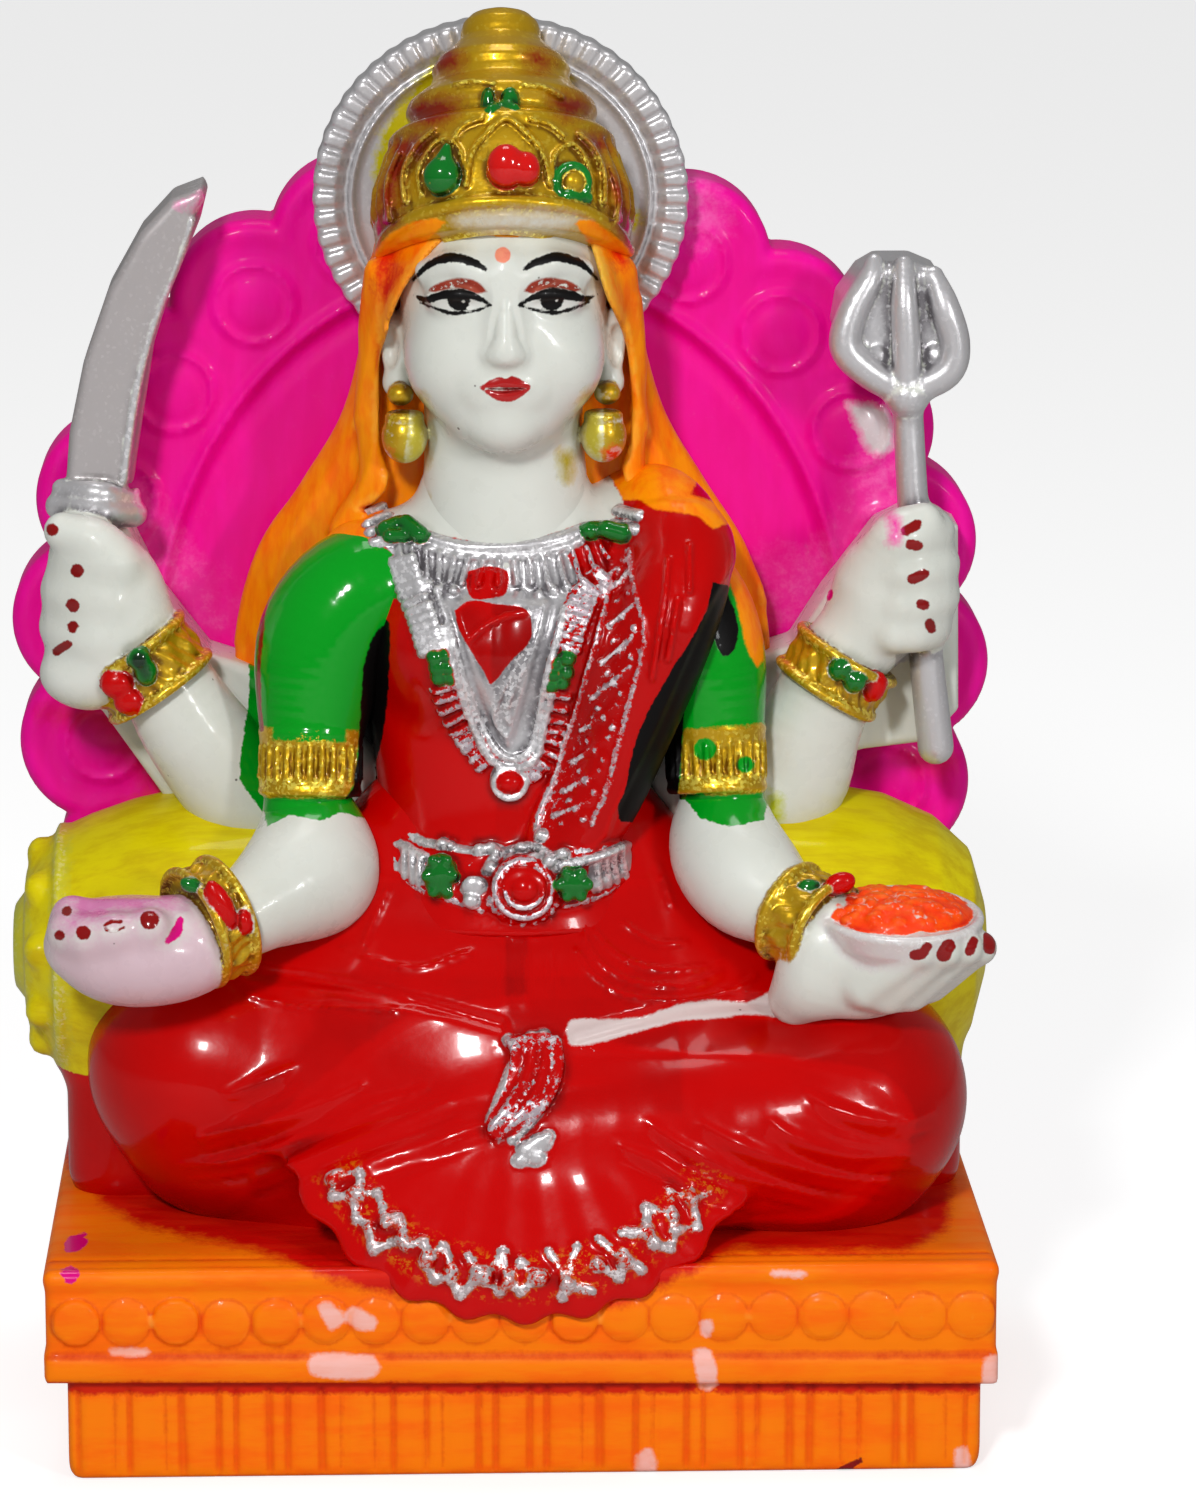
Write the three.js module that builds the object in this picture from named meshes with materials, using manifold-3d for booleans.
// A small temple idol: a four-armed goddess seated cross-legged on a plinth, with a bolster, a scalloped
// backrest and a ribbed halo behind her. The real one is cast in a single pour, so this is one closed solid.
// Millimetres. +Z is up, the goddess faces -Y, and the origin is the middle of the plinth's underside.

import * as THREE from "three";
import { mergeVertices } from "three/addons/utils/BufferGeometryUtils.js";
import Module from "manifold-3d";

// Driving dimensions.
const PLINTH = { width: 74, depth: 46, seat: 17.3, slab: 7.9, corner: 2 };
const FOOT = { inset: 1.5, pitch: 4.05, gap: 1.2, deep: 0.9 };
const FRIEZE = { low: 10.9, high: 15.5, inset: 0.7, pitch: 3.85, radius: 1.75, proud: 0.6 };
const MIDDLE = -0.8; // the head, halo and backrest stand this far to one side of the plinth's middle
const BACK = { centre: 58.4, halfWidth: 33, halfHeight: 36.2, front: 12, rear: 20 };
const LOBE = { radius: 6.8, step: 16, first: -33.2, count: 16, boss: 2.9 };
const ARCH = { halfWidth: 28, halfHeight: 32, thick: 0.9, from: -24, to: 204 };
const HALO = { centre: 96.4, halfWidth: 14.9, halfHeight: 14.1, front: 7.2, rear: 12.5, ribs: 45 };
const BOLSTER = { y: 6, z: 36, half: 37.2, radius: 10.8 };
const HEAD = { centre: [MIDDLE, -0.6, 87.2], radii: [7.9, 9.2, 10] };
const CROWN = { tilt: -8, bottom: 93.2, top: 112 };

const wasm = await Module();
wasm.setup();
const { Manifold, Mesh } = wasm;

const DEGREE = Math.PI / 180;
const UP = new THREE.Vector3(0, 1, 0);

// A closed geometry as a solid that can be joined and cut.
function solid(geometry) {
  const bare = geometry.clone();
  bare.deleteAttribute("normal");
  bare.deleteAttribute("uv");
  const merged = mergeVertices(bare, 1e-4);
  const from = merged.index.array;
  const kept = [];
  for (let i = 0; i < from.length; i += 3) {
    const [a, b, c] = from.slice(i, i + 3);
    if (a !== b && b !== c && c !== a) kept.push(a, b, c);
  }
  const vertProperties = merged.attributes.position.array;
  const made = new Manifold(new Mesh({ numProp: 3, vertProperties, triVerts: new Uint32Array(kept) }));
  if (made.volume() > 0) return made;
  for (let i = 0; i < kept.length; i += 3) [kept[i], kept[i + 1]] = [kept[i + 1], kept[i]];
  return new Manifold(new Mesh({ numProp: 3, vertProperties, triVerts: new Uint32Array(kept) }));
}

function join(pieces) {
  return Manifold.union(pieces.flat(Infinity));
}

// Turns a shape made along +Y so that it runs along a direction, and moves it to a place.
function aim(geometry, at, direction) {
  const turn = new THREE.Quaternion().setFromUnitVectors(UP, new THREE.Vector3(...direction).normalize());
  return geometry.applyQuaternion(turn).translate(...at);
}

// An ellipsoid, turned by degrees about X, Y and Z.
function ball(at, radii, turn = [0, 0, 0], around = 8, down = 6) {
  const made = new THREE.SphereGeometry(1, around, down).rotateX(90 * DEGREE).scale(...radii);
  made.rotateX(turn[0] * DEGREE).rotateY(turn[1] * DEGREE).rotateZ(turn[2] * DEGREE);
  return solid(made.translate(...at));
}

// A tapered bar with round ends from one point to the next.
function limb(from, fromRadius, to, toRadius, around = 8, rings = 1) {
  const a = new THREE.Vector3(...from);
  const run = new THREE.Vector3(...to).sub(a);
  const profile = [];
  for (let i = 0; i <= rings; i++) {
    const turn = (i / rings) * 90 * DEGREE;
    profile.push(new THREE.Vector2(fromRadius * Math.sin(turn), -fromRadius * Math.cos(turn)));
  }
  for (let i = 0; i <= rings; i++) {
    const turn = (i / rings) * 90 * DEGREE;
    profile.push(new THREE.Vector2(toRadius * Math.cos(turn), run.length() + toRadius * Math.sin(turn)));
  }
  profile[0].x = 0;
  profile[profile.length - 1].x = 0;
  return solid(aim(new THREE.LatheGeometry(profile, around), from, run.toArray()));
}

// Limbs through a row of joints, each joint [x, y, z, radius].
function chain(joints, around = 8, rings = 1) {
  return joints.slice(1).map((to, i) => {
    const from = joints[i];
    return limb(from.slice(0, 3), from[3], to.slice(0, 3), to[3], around, rings);
  });
}

// A turned shape: profile is [radius, height] pairs, starting and ending on the axis.
function turned(profile, at, direction = [0, 0, 1], around = 10) {
  const points = profile.map(([r, h]) => new THREE.Vector2(r, h));
  return solid(aim(new THREE.LatheGeometry(points, around), at, direction));
}

function bead(at, radius, flat = [1, 1, 1]) {
  return solid(new THREE.IcosahedronGeometry(radius, 0).scale(...flat).translate(...at));
}

function stud(at, radius, flat = [1, 1, 1]) {
  return solid(new THREE.OctahedronGeometry(radius, 0).scale(...flat).translate(...at));
}

// A closed skin over rows of points, with flat ends.
function skin(rows) {
  const count = rows[0].length;
  const points = rows.flat();
  const faces = [];
  for (let r = 0; r + 1 < rows.length; r++)
    for (let i = 0; i < count; i++) {
      const next = (i + 1) % count;
      const [a, b, c, d] = [r * count + i, r * count + next, (r + 1) * count + next, (r + 1) * count + i];
      faces.push(a, b, c, a, c, d);
    }
  for (const [row, first] of [[rows[0], 0], [rows[rows.length - 1], (rows.length - 1) * count]]) {
    const middle = row.reduce((sum, p) => sum.map((v, k) => v + p[k] / count), [0, 0, 0]);
    points.push(middle);
    for (let i = 0; i < count; i++) {
      const pair = [first + i, first + ((i + 1) % count)];
      faces.push(...(first ? pair : pair.reverse()), points.length - 1);
    }
  }
  const made = new THREE.BufferGeometry();
  made.setAttribute("position", new THREE.Float32BufferAttribute(points.flat(), 3));
  return solid(made.setIndex(faces));
}

// Level ovals stacked along Z. Each level is { z, x, y, wide, deep }, the last two half sizes.
function stack(levels, around = 16) {
  return skin(levels.map((level) => Array.from({ length: around }, (_, i) => {
    const turn = (i / around) * 360 * DEGREE;
    return [level.x + level.wide * Math.cos(turn), level.y + level.deep * Math.sin(turn), level.z];
  })));
}

// A flat outline of [x, z] points, standing upright from its front y to its rear y.
function upright(outline, front, rear, bevel = 0) {
  const shape = new THREE.Shape(outline.map(([x, z]) => new THREE.Vector2(x, z)));
  const options = { depth: rear - front - 2 * bevel, bevelEnabled: bevel > 0, steps: 1 };
  Object.assign(options, { bevelThickness: bevel, bevelSize: bevel, bevelOffset: -bevel, bevelSegments: 1 });
  return solid(new THREE.ExtrudeGeometry(shape, options).rotateX(90 * DEGREE).translate(0, rear - bevel, 0));
}

// A flat outline of [x, y] points, raised from one height to another.
function level(outline, low, high) {
  const shape = new THREE.Shape(outline.map(([x, y]) => new THREE.Vector2(x, y)));
  return solid(new THREE.ExtrudeGeometry(shape, { depth: high - low, bevelEnabled: false }).translate(0, 0, low));
}

// A cord of round section along a curve through points.
function cord(points, radius, steps, sides = 6) {
  const path = new THREE.CatmullRomCurve3(points.map((p) => new THREE.Vector3(...p)));
  const section = new THREE.Shape(Array.from({ length: sides }, (_, i) => {
    const turn = (i / sides) * 360 * DEGREE;
    return new THREE.Vector2(radius * Math.cos(turn), radius * Math.sin(turn));
  }));
  return solid(new THREE.ExtrudeGeometry(section, { steps, extrudePath: path, bevelEnabled: false }));
}

function onEllipse(degrees, halfWidth, halfHeight, x, z) {
  return [x + halfWidth * Math.cos(degrees * DEGREE), z + halfHeight * Math.sin(degrees * DEGREE)];
}

function roundedBox(halfWidth, halfDepth, corner) {
  const points = [];
  for (const [sx, sy, from] of [[1, 1, 0], [-1, 1, 90], [-1, -1, 180], [1, -1, 270]])
    for (const turn of [0, 45, 90]) {
      const a = (from + turn) * DEGREE;
      points.push([sx * (halfWidth - corner) + corner * Math.cos(a), sy * (halfDepth - corner) + corner * Math.sin(a)]);
    }
  return points;
}

// The foot's plan: plain behind, with upright ribs parted by narrow grooves in front and at the sides.
function footPlan() {
  const halfWidth = PLINTH.width / 2 - FOOT.inset;
  const halfDepth = PLINTH.depth / 2 - FOOT.inset;
  const grooves = (half) => {
    const count = Math.floor((2 * half) / FOOT.pitch);
    return Array.from({ length: count }, (_, i) => {
      const middle = (i - (count - 1) / 2) * FOOT.pitch;
      return [[middle - FOOT.gap / 2, 0], [middle, FOOT.deep], [middle + FOOT.gap / 2, 0]];
    }).flat();
  };
  const points = [[halfWidth, halfDepth], [-halfWidth, halfDepth]];
  for (const [along, deep] of grooves(halfDepth)) points.push([-halfWidth + deep, -along]);
  points.push([-halfWidth, -halfDepth]);
  for (const [along, deep] of grooves(halfWidth)) points.push([along, -halfDepth + deep]);
  points.push([halfWidth, -halfDepth]);
  for (const [along, deep] of grooves(halfDepth)) points.push([halfWidth - deep, along]);
  return points;
}

function plinth() {
  const tier = (inset, low, high) =>
    level(roundedBox(PLINTH.width / 2 - inset, PLINTH.depth / 2 - inset, PLINTH.corner), low, high);
  const pieces = [
    level(footPlan(), 0, PLINTH.slab + 0.2),
    tier(0, PLINTH.slab, FRIEZE.low),
    tier(FRIEZE.inset, FRIEZE.low - 0.2, FRIEZE.high + 0.2),
    tier(0.2, FRIEZE.high, PLINTH.seat - 0.8),
    tier(1.4, PLINTH.seat - 1, PLINTH.seat),
  ];
  const roundel = [[0, -1], [FRIEZE.radius, -0.05], [0, FRIEZE.proud]];
  for (let i = -9; i <= 9; i++) {
    const at = [i * FRIEZE.pitch, -PLINTH.depth / 2 + FRIEZE.inset, (FRIEZE.low + FRIEZE.high) / 2];
    pieces.push(turned(roundel, at, [0, -1, 0], 6));
  }
  return pieces;
}

// The backrest's edge is a row of round lobes on an oval, above a plain block that stands on the plinth.
function backrest() {
  const outline = [[32, PLINTH.seat - 1], [34, 30]];
  const bosses = [];
  const boss = [[0, -1.4], [LOBE.boss, -0.1], [LOBE.boss * 0.7, 0.7], [0, 0.9]];
  for (let k = 0; k < LOBE.count; k++) {
    const turn = LOBE.first + k * LOBE.step;
    const [x, z] = onEllipse(turn, BACK.halfWidth, BACK.halfHeight, MIDDLE, BACK.centre);
    for (const lean of [-55, -20, 20, 55])
      outline.push(onEllipse(turn + lean, LOBE.radius, LOBE.radius, x, z));
    bosses.push(turned(boss, [x, BACK.front, z], [0, -1, 0], 6));
  }
  outline.push([-35, 30], [-33, PLINTH.seat - 1]);
  const rim = [];
  for (let turn = ARCH.from; turn <= ARCH.to; turn += 12) {
    const [x, z] = onEllipse(turn, ARCH.halfWidth, ARCH.halfHeight, MIDDLE, BACK.centre);
    rim.push([x, BACK.front, z]);
  }
  return [upright(outline, BACK.front, BACK.rear), cord(rim, ARCH.thick, 18, 4), bosses];
}

// A thin oval disc whose outer band rises and falls in ribs.
function halo() {
  const oval = (share, depth) => Array.from({ length: 2 * HALO.ribs }, (_, i) => {
    const [x, z] = onEllipse((i * 180) / HALO.ribs, HALO.halfWidth * share, HALO.halfHeight * share, MIDDLE, HALO.centre);
    return [x, depth(i), z];
  });
  const sunk = (y) => (i) => y + (i % 2 ? 0.8 : 0);
  return [skin([oval(1, () => HALO.rear), oval(1, sunk(HALO.front + 1)), oval(0.78, sunk(HALO.front))])];
}

// A round cushion lying across behind the hips, with a flower on each end.
function bolster() {
  const { half, radius, y, z } = BOLSTER;
  const end = [[0, 1.6], [5.6, 0.9], [7, 0.9], [7.2, -1.4], [9.4, -6], [radius, -16]];
  const near = end.map(([r, h]) => [r, -half - h]);
  const far = end.map(([r, h]) => [r, half + h]).reverse();
  const pieces = [turned([...near, ...far], [MIDDLE * 0.5, y, z], [1, 0, 0], 14)];
  for (const side of [-1, 1])
    for (let i = 0; i < 6; i++) {
      const turn = i * 60 * DEGREE;
      const at = [side * (half + 1.1) - 0.4, y + 3.8 * Math.cos(turn), z + 3.8 * Math.sin(turn)];
      pieces.push(stud(at, 2, [0.6, 1, 1]));
    }
  return pieces;
}

// What the figure and bolster sit on, between the plinth and the backrest.
function seat() {
  const plan = roundedBox(36, 11, 4).map(([x, y]) => [x - 0.8, y + 9]);
  return [level(plan, PLINTH.seat - 1, 26)];
}

// The crossed legs under the skirt, with folds across them.
function legs() {
  const leftThigh = [[-11, 4, 33, 9.5], [-24.4, -1.5, 28.3, 9.2]];
  const leftShin = [[-24, -2.5, 27.2, 9], [-8, -8, 24.6, 7.8], [4, -11, 23.6, 6.4]];
  const rightThigh = [[11, 3, 32, 9.5], [26, -3.5, 26.6, 9]];
  const rightShin = [[26, -7.2, 26, 8.9], [13, -11.5, 25.2, 8], [-3, -12.5, 24.6, 6.6]];
  const pieces = [chain(leftThigh), chain(leftShin), chain(rightThigh), chain(rightShin)];
  pieces.push(ball([-24.2, -2.4, 28], [9.3, 8.8, 9.6], [0, 0, 0], 10, 8));
  pieces.push(ball([26.2, -6, 26.2], [9, 9.2, 9], [0, 0, 0], 10, 8));
  pieces.push(stack([{ z: 16.5, x: 0.4, y: -0.5, wide: 26, deep: 14 }, { z: 28, x: 0, y: -2, wide: 22, deep: 14.5 },
    { z: 35, x: 0, y: -1.5, wide: 17.5, deep: 13 }, { z: 40, x: 0, y: -0.5, wide: 13.6, deep: 10.5 },
    { z: 44, x: 0, y: 0, wide: 11, deep: 8 }], 12));
  // Folds run from the hip down across each shin, [across, down] at both ends, on the shin's front.
  const folds = [[-28, 33, -14, 36.2], [-29.5, 28, -10, 32.6], [-27, 23, -8, 28],
    [29, 31, 14, 34.6], [31, 26, 12, 31], [28.5, 21, 12, 26.6]];
  for (const [x0, z0, x1, z1] of folds) {
    const leg = x0 < 0 ? { back: -0.8, bulge: 12.2, middle: 27 } : { back: 2.9, bulge: 12.4, middle: 26 };
    const depth = (x, z) => -leg.back - Math.sqrt(Math.max(leg.bulge ** 2 - (z - leg.middle) ** 2, 4))
      + Math.abs(x) * 0.11 - 1;
    pieces.push(limb([x0, depth(x0, z0) + 1.2, z0], 0.9, [x1, depth(x1, z1) - 0.6, z1], 0.7, 5, 1));
  }
  return pieces;
}

// The pleated front of the skirt spreads in a fan over the plinth's edge.
function fan() {
  const apex = [0.8, -10, 34.5];
  const pleats = 12;
  const rows = [];
  for (const share of [0.04, 0.35, 0.7, 0.93, 1]) {
    const row = [];
    for (let i = 0; i <= 2 * pleats; i++) {
      const across = i / (2 * pleats);
      const turn = (198 + 144 * across) * DEGREE;
      const rim = [17.6 * Math.cos(turn), -6.6 + 17.2 * Math.sin(turn), 26.6 + 10.8 * Math.sin(turn)];
      const proud = (i % 2 ? 0.5 : -0.3) * share;
      const swell = 3.2 * Math.sin(share * 180 * DEGREE) + proud;
      row.push([apex[0] + (rim[0] - apex[0]) * share + Math.cos(turn) * swell * 0.4,
        apex[1] + (rim[1] - apex[1]) * share + Math.sin(turn) * swell,
        apex[2] + (rim[2] - apex[2]) * share + 0.3 * swell]);
    }
    const [first, last] = [row[0], row[row.length - 1]];
    row.push([last[0] * 0.6, 2, last[2] - 1.4 * share], [first[0] * 0.6, 2, first[2] - 1.4 * share]);
    rows.push(row);
  }
  rows.push(rows[rows.length - 1].map(([x, y, z]) => [x * 0.94, y + (y < 0 ? 1.4 : 0), z - 0.9]));
  return [skin(rows)];
}

const TRUNK = { x: -0.3, y: 0.5, levels: [
  { z: 36, wide: 13.5, deep: 8 }, { z: 42, wide: 11.6, deep: 7.6 }, { z: 47, wide: 10.2, deep: 7 },
  { z: 54, wide: 11.2, deep: 7.6 }, { z: 61, wide: 13, deep: 8 }, { z: 66, wide: 14, deep: 7.4 },
  { z: 70, wide: 11.6, deep: 6.2 }, { z: 73, wide: 7.6, deep: 5.5 }, { z: 80, wide: 5.4, deep: 5.2 },
] };
const BREAST = { apart: 4.9, y: -4.6, z: 62.6, radii: [5.1, 4.6, 5.4] };

// How far forward the front of the trunk stands at a place across and up.
function chest(x, z) {
  const { levels } = TRUNK;
  const above = Math.max(levels.findIndex((one) => one.z >= z), 1);
  const [low, high] = [levels[above - 1], levels[above]];
  const share = (z - low.z) / (high.z - low.z);
  const wide = low.wide + (high.wide - low.wide) * share;
  const deep = low.deep + (high.deep - low.deep) * share;
  let front = TRUNK.y - deep * Math.sqrt(Math.max(1 - ((x - TRUNK.x) / wide) ** 2, 0));
  for (const side of [-1, 1]) {
    const [rx, ry, rz] = BREAST.radii;
    const rest = 1 - ((x - TRUNK.x - side * BREAST.apart) / rx) ** 2 - ((z - BREAST.z) / rz) ** 2;
    if (rest > 0) front = Math.min(front, BREAST.y - ry * Math.sqrt(rest));
  }
  return front;
}

function torso() {
  const pieces = [stack(TRUNK.levels.map((one) => ({ x: TRUNK.x, y: TRUNK.y, ...one })), 12)];
  for (const side of [-1, 1])
    pieces.push(ball([TRUNK.x + side * BREAST.apart, BREAST.y, BREAST.z], BREAST.radii, [0, 0, 0], 8, 6));
  return pieces;
}

// A broad necklace hanging to a point, edged with beads, with an oval pendant below it.
function necklace() {
  const pieces = [];
  for (const [x, z] of [[-8.4, 70.6], [-7.4, 67.4], [-6.2, 64.2], [-4.8, 61.2], [-3, 58.2], [-0.4, 55.6], [2.2, 58.2],
    [4, 61.2], [5.4, 64.2], [6.6, 67.4], [7.6, 70.6]])
    pieces.push(stud([x, chest(x, z) - 0.4, z], 1.4));
  const rows = [71.6, 68, 64.4, 61, 58, 55].map((z, row) => {
    const half = [8.2, 7, 5.6, 4.2, 2.4, 0.5][row];
    const front = [-1, 0, 1].map((share) => [-0.4 + half * share, chest(-0.4 + half * share, z) - 0.6, z]);
    return [...front, [-0.4 + half, 0, z], [-0.4 - half, 0, z]];
  });
  pieces.push(skin(rows));
  pieces.push(ball([-0.4, chest(-0.4, 52.8), 52.8], [1.9, 1.5, 2.2], [0, 0, 0], 8, 4));
  return pieces;
}

function belt() {
  const along = (half, low, high, steps) => Array.from({ length: steps + 1 }, (_, i) => {
    const across = (2 * i) / steps - 1;
    const z = low + (high - low) * across * across;
    const x = -0.3 + half * across;
    return [x, chest(x, z), z];
  });
  return [
    cord(along(9.8, 43.6, 46.2, 6), 1.6, 6, 4),
    turned([[0, -3], [2.9, -3], [2.6, 1.2], [0, 1.6]], [0.2, -7.8, 43.6], [0, -1, 0], 8),
    bead([-5.8, -7.6, 44.6], 1.5),
    bead([6, -7.6, 44.6], 1.5),
  ];
}

// The free end of the drape comes over the shoulder and crosses to the waist.
function sash() {
  const run = [[10.2, 71.4, 3], [8.8, 62, 3.4], [6.2, 53, 2.2], [3.6, 46, 1.5]];
  return chain(run.map(([x, z, r]) => [x, chest(x, z) + r - 1.2, z, r]), 6, 1);
}

// An arm through shoulder, elbow and wrist, with a wide bangle.
function arm(joints, bangle) {
  const cuff = [[0, -bangle.width], [bangle.radius, -bangle.width], [bangle.radius + 0.7, 0],
    [bangle.radius, bangle.width], [0, bangle.width]];
  return [chain(joints), turned(cuff, bangle.at, bangle.along, 8)];
}

function armband(at, along) {
  const band = [[0, -2.7], [4.8, -2.7], [4.6, 0], [4.8, 2.7], [0, 2.7]];
  return turned(band, at, along, 8);
}

function fingers(roots, tips, radius) {
  return roots.map((root, i) => limb(root, radius, tips[i], radius * 0.85, 5, 1));
}

function frontArms() {
  const left = [[-15.2, -0.5, 64.6, 5], [-16.2, -3.4, 51, 4], [-16.6, -5.2, 45.6, 4.7], [-22.6, -12, 42.6, 3.2]];
  const right = [[14.4, -0.5, 65, 5], [15.8, -3, 52, 4], [17, -5.2, 46, 4.6], [21.6, -11, 42.6, 3.3]];
  const pieces = [
    arm(left, { at: [-23.2, -12, 42.7], radius: 3.7, width: 1.5, along: [-0.8, -0.55, 0.05] }),
    arm(right, { at: [21.8, -11.2, 42.7], radius: 3.6, width: 2.2, along: [0.75, -0.6, 0.1] }),
    armband([-16.2, -3, 53], [0.08, 0.2, -1]),
    armband([15.8, -2.8, 52.8], [-0.08, 0.2, -1]),
    [left, right].map(([[x, y, z, radius]]) => ball([x, y, z], [radius, radius, radius])),
  ];
  // The open left hand rests on the knee with its fingers together, pointing outwards.
  pieces.push(ball([-28.4, -12.6, 41.2], [5.6, 4.3, 4.3], [0, 0, 0], 7, 5));
  pieces.push(fingers([[-30, -10, 43.4], [-30, -12, 43], [-30, -14, 41.6], [-29.6, -15.2, 39.8]],
    [[-36.2, -10.6, 42], [-36.4, -12.6, 41.2], [-35.6, -14.4, 40.2], [-34, -15.4, 39]], 1.6));
  // The right hand cups a bowl from below.
  pieces.push(ball([29, -11.6, 39.2], [7.4, 4.9, 3.6], [0, 6, 0], 7, 5));
  pieces.push(fingers([[28.6, -15, 36.6], [30.6, -15, 36.2], [32.6, -14.2, 35.8], [34, -12.6, 35.8]],
    [[32.2, -16.8, 39.8], [34.4, -16, 39.6], [36.2, -14.4, 39.6], [37.4, -12, 39.8]], 1.5));
  pieces.push(limb([22.4, -9, 40], 3, [25, -8, 33], 3, 6, 1));
  return pieces;
}

function bowl() {
  const profile = [[0, -3.6], [2.4, -3.4], [5, -1.6], [6.4, 0.5], [6.4, 1.1], [5.4, 1.1], [3.6, 2.7], [0, 3.2]];
  return [turned(profile, [29.8, -12.4, 41.8], [0.04, -0.1, 1], 12)];
}

// A raised rear arm that comes from behind the shoulder, with a fist closed round an upright grip.
function rearArm(joints, bangle, fist, side) {
  const pieces = [arm(joints, bangle)];
  pieces.push(ball(fist.palm, fist.size, [0, side * 10, 0], 7, 5));
  const heights = fist.knuckles;
  const roots = heights.map((z) => [fist.outer, 4.2, z]);
  const tips = heights.map((z) => [fist.nails, -1.2, z - 0.2]);
  pieces.push(fingers(roots, tips, fist.finger));
    return pieces;
}

function rearArms() {
  const left = [[-15, 5, 50, 5], [-20.6, 4, 48.6, 4.3], [-28.4, 2.4, 60, 3.3]];
  const right = [[15, 5, 50, 5], [21.6, 4, 49, 4.2], [26, 2.4, 60, 3.4]];
  const web = (outline) => upright(outline, 4.6, BACK.front + 1);
  return [
    rearArm(left, { at: [-28.2, 2.4, 59.6], radius: 4, width: 2.5, along: [-0.55, 0, 0.83] },
      { palm: [-32, 2.2, 64.4], size: [4.4, 4, 6], outer: -36.2, nails: -35, knuckles: [69.6, 66.2, 62.8, 59.4], finger: 1.65 }, -1),
    rearArm(right, { at: [26, 2.4, 59.4], radius: 3.9, width: 2.5, along: [0.35, 0, 0.93] },
      { palm: [30.4, 2.2, 65.6], size: [4.6, 4, 5.2], outer: 34.4, nails: 33, knuckles: [69.4, 66.6, 63.8, 61], finger: 1.4 }, 1),
    web([[-16, 44], [-26, 46], [-36, 57], [-36.5, 70], [-30, 73], [-22, 62], [-15, 56]]),
    web([[16, 44], [25, 46], [34.6, 52], [35.4, 70], [28, 74], [22, 62], [15, 56]]),
  ];
}

function sword() {
  const blade = [[-35.6, 73], [-34.9, 80], [-33, 87], [-30.4, 92.6], [-27.6, 96.4], [-25, 97.1], [-26.2, 93.2],
    [-27.8, 87.8], [-29.3, 79.2], [-30.6, 73]];
  return [
    upright(blade, 5, BACK.front + 1),
    limb([-35.6, 4.4, 72.6], 1.7, [-30.8, 4.4, 71.8], 1.7, 7, 1),
    limb([-33.4, 3.6, 72], 2, [-34.8, 3.6, 57.4], 2.1, 7, 1),
  ];
}

function trident() {
  const head = [[30.6, 80.4], [28, 81.6], [26, 84], [25.8, 87.6], [26.6, 90.4], [28.4, 91.6], [31.2, 91.8],
    [33.4, 90.6], [34.6, 88], [35.7, 84.6], [34.6, 81.8], [32.6, 80.4]];
  const tines = [
    [[31.4, 4.6, 81.4], [27.4, 4.4, 83.2], [26.8, 4.4, 87], [28, 4.6, 90.6]],
    [[31.4, 4.2, 81], [31.3, 4, 86], [31, 4.4, 91]],
    [[31.4, 4.6, 81.4], [35, 4.4, 83.4], [34.2, 4.4, 87.4], [33.2, 4.6, 90]],
  ];
  return [
    upright(head, 5.4, BACK.front + 1),
    tines.map((tine) => cord(tine, 1, 4, 4)),
    chain([[33.9, 3.4, 52.6, 1.5], [32.8, 3.2, 62, 1.5], [31.4, 4.4, 80.6, 1.4]], 7, 1),
    upright([[29.4, 66], [29.8, 80], [33.4, 80], [35.2, 70], [35.4, 52.4], [32, 52.4]], 3.6, BACK.front + 1),
  ];
}

// The head keeps a calm, general face on even proportions.
function head() {
  const [x, y, z] = HEAD.centre;
  const front = y - HEAD.radii[1];
  const pieces = [ball(HEAD.centre, HEAD.radii, [0, 0, 0], 12, 8)];
  pieces.push(ball([x, front + 5, z - 6.8], [4.2, 3.8, 3]));
  pieces.push(limb([x, front + 0.9, z + 2.2], 0.7, [x, front + 0.1, z - 2], 1.1, 6, 1));
  pieces.push(ball([x, front + 1.7, z - 5], [1.9, 0.7, 0.8], [0, 0, 0], 6, 4));
  for (const side of [-1, 1]) {
    pieces.push(ball([x + side * 3.1, front + 1.5, z + 0.6], [2.1, 0.9, 0.9], [0, 0, side * 22], 6, 4));
    pieces.push(ball([x + side * 8.6, 1.6, z - 1.4], [1.5, 1.8, 3.2], [0, side * 8, 0], 6, 4));
    pieces.push(bead([x + side * 8.2, -0.2, z - 5.6], 1.6), bead([x + side * 7.8, -0.2, z - 8.2], 2.1));
  }
  return pieces;
}

// The veil falls from under the crown, past the ears, and spreads over the shoulders.
function veil() {
  const levels = [
    { z: 54, wide: 20.6, deep: 4, y: 9 }, { z: 61, wide: 21.8, deep: 4.4, y: 8.6 },
    { z: 68, wide: 20, deep: 5.2, y: 7.6 }, { z: 74, wide: 16.4, deep: 5.8, y: 6.6 },
    { z: 80, wide: 12.6, deep: 6, y: 6 }, { z: 88, wide: 10.9, deep: 6.6, y: 5.4 },
    { z: 95, wide: 9.8, deep: 8.4, y: 1.8 }, { z: 99, wide: 6, deep: 5, y: 1 },
  ].map((one) => ({ x: MIDDLE - 0.2, ...one }));
  return [stack(levels, 12)];
}

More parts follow.
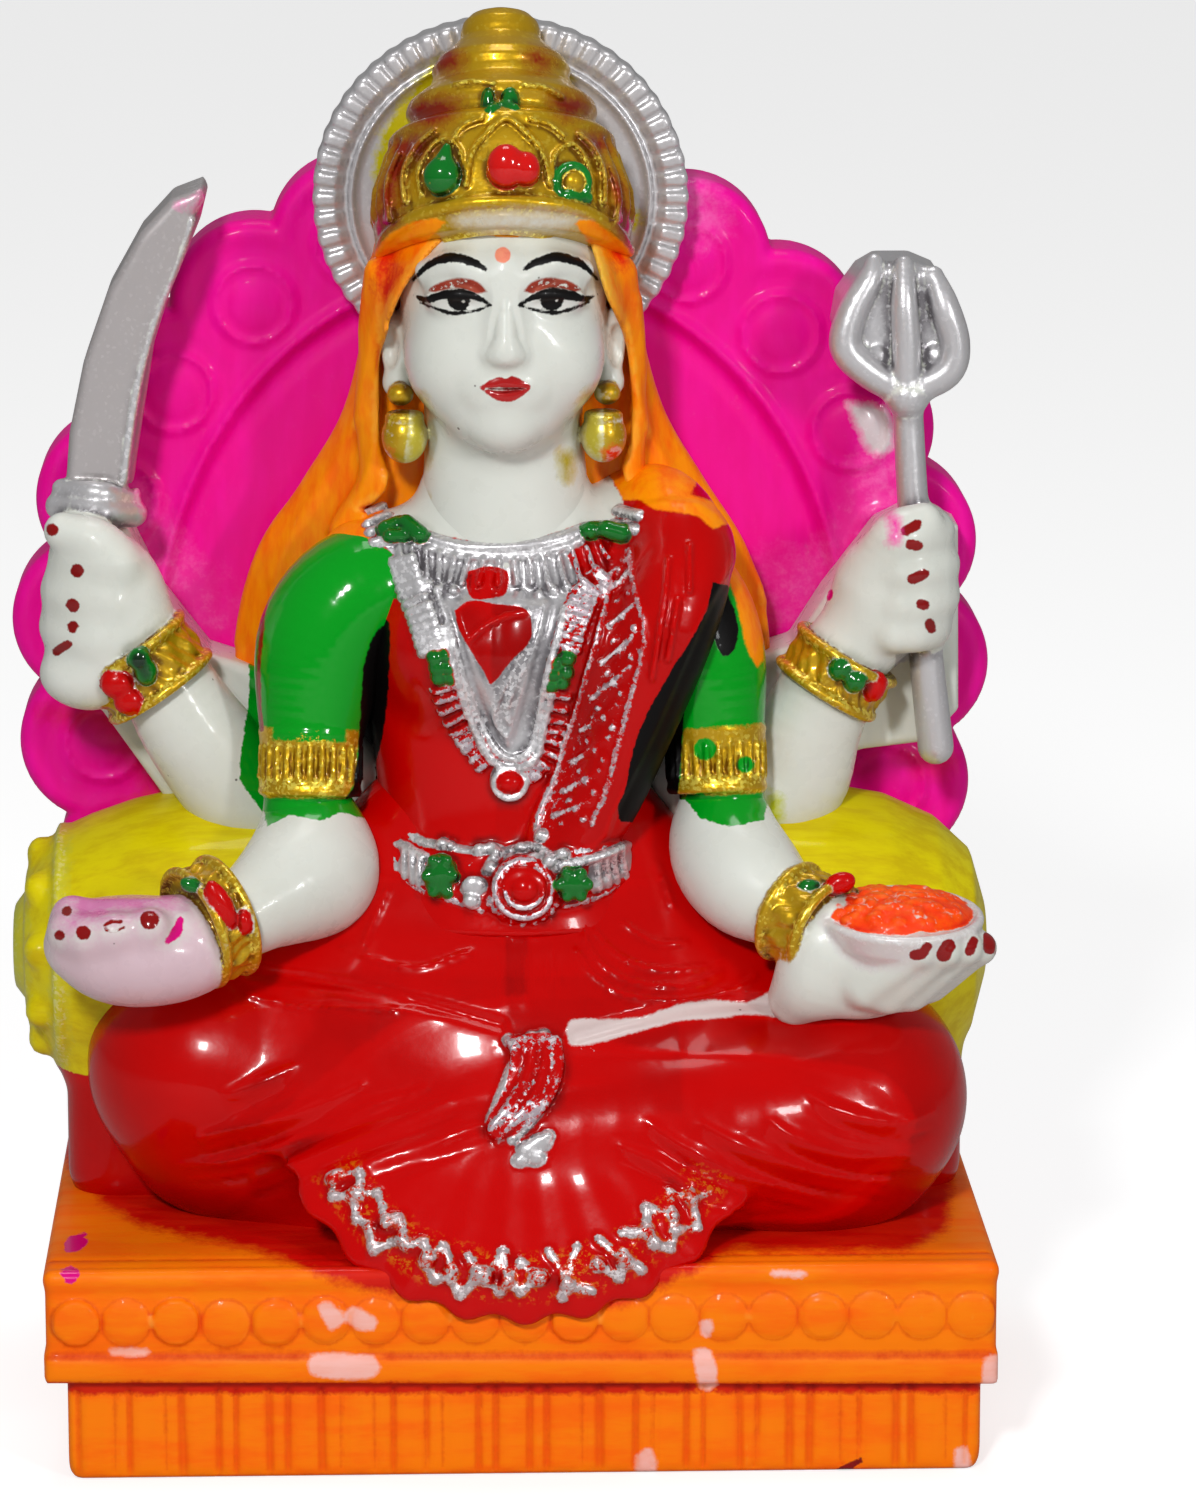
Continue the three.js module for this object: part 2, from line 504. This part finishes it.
function crown() {
  const profile = [[0, 0], [9.6, 0], [9.9, 4.6], [8.9, 8.4], [7.2, 9.4], [7, 12], [4.9, 13.4], [4.7, 15],
    [2.6, 16.4], [2.4, 18.3], [0, 18.8]];
  const tilt = CROWN.tilt * DEGREE;
  const up = [0, -Math.sin(tilt), Math.cos(tilt)];
  const base = [MIDDLE, -0.6, CROWN.bottom];
  const pieces = [turned(profile, base, up, 12)];
  // Pointed arches round the lowest tier, each with a round stone, and a small stone in the tier above.
  const onCrown = (turn, height, radius) => {
    const a = turn * DEGREE;
    return [base[0] + radius * Math.sin(a), base[1] - radius * Math.cos(a) * Math.cos(tilt) - height * Math.sin(tilt),
      base[2] + height * Math.cos(tilt) - radius * Math.cos(a) * Math.sin(tilt)];
  };
  for (const turn of [-68, -34, 0, 34, 68]) {
    const sweep = [[-15, 1], [-12, 5], [0, 8.2], [12, 5], [15, 1]];
    const arch = sweep.map(([lean, height]) => onCrown(turn + lean, height, 10.1 - height * 0.14));
    pieces.push(cord(arch, 0.8, 4, 3), stud(onCrown(turn, 3.4, 9.6), 2));
  }
  pieces.push(bead(onCrown(0, 10.4, 7.2), 1.5));
  return pieces;
}

const cast = join([
  plinth(), backrest(), halo(), bolster(), seat(), legs(), fan(), torso(), necklace(), belt(), sash(),
  frontArms(), bowl(), rearArms(), sword(), trident(), head(), veil(), crown(),
]);

function meshOf(made) {
  const { numProp, vertProperties, triVerts } = made.getMesh();
  const geometry = new THREE.BufferGeometry();
  const positions = new Float32Array((vertProperties.length / numProp) * 3);
  for (let i = 0; i < positions.length / 3; i++)
    positions.set(vertProperties.subarray(i * numProp, i * numProp + 3), i * 3);
  geometry.setAttribute("position", new THREE.BufferAttribute(positions, 3));
  geometry.setIndex(new THREE.BufferAttribute(triVerts, 1));
  geometry.computeVertexNormals();
  return geometry;
}

// White marble-dust resin, painted all over by hand; the lacquer red covers the most of it.
const paintedResin = new THREE.MeshStandardMaterial({ color: 0xc80a0a, roughness: 0.3, metalness: 0 });

const idol = new THREE.Mesh(meshOf(cast), paintedResin);
idol.name = "seated_goddess_idol";

const group = new THREE.Group();
group.add(idol);

export default group;
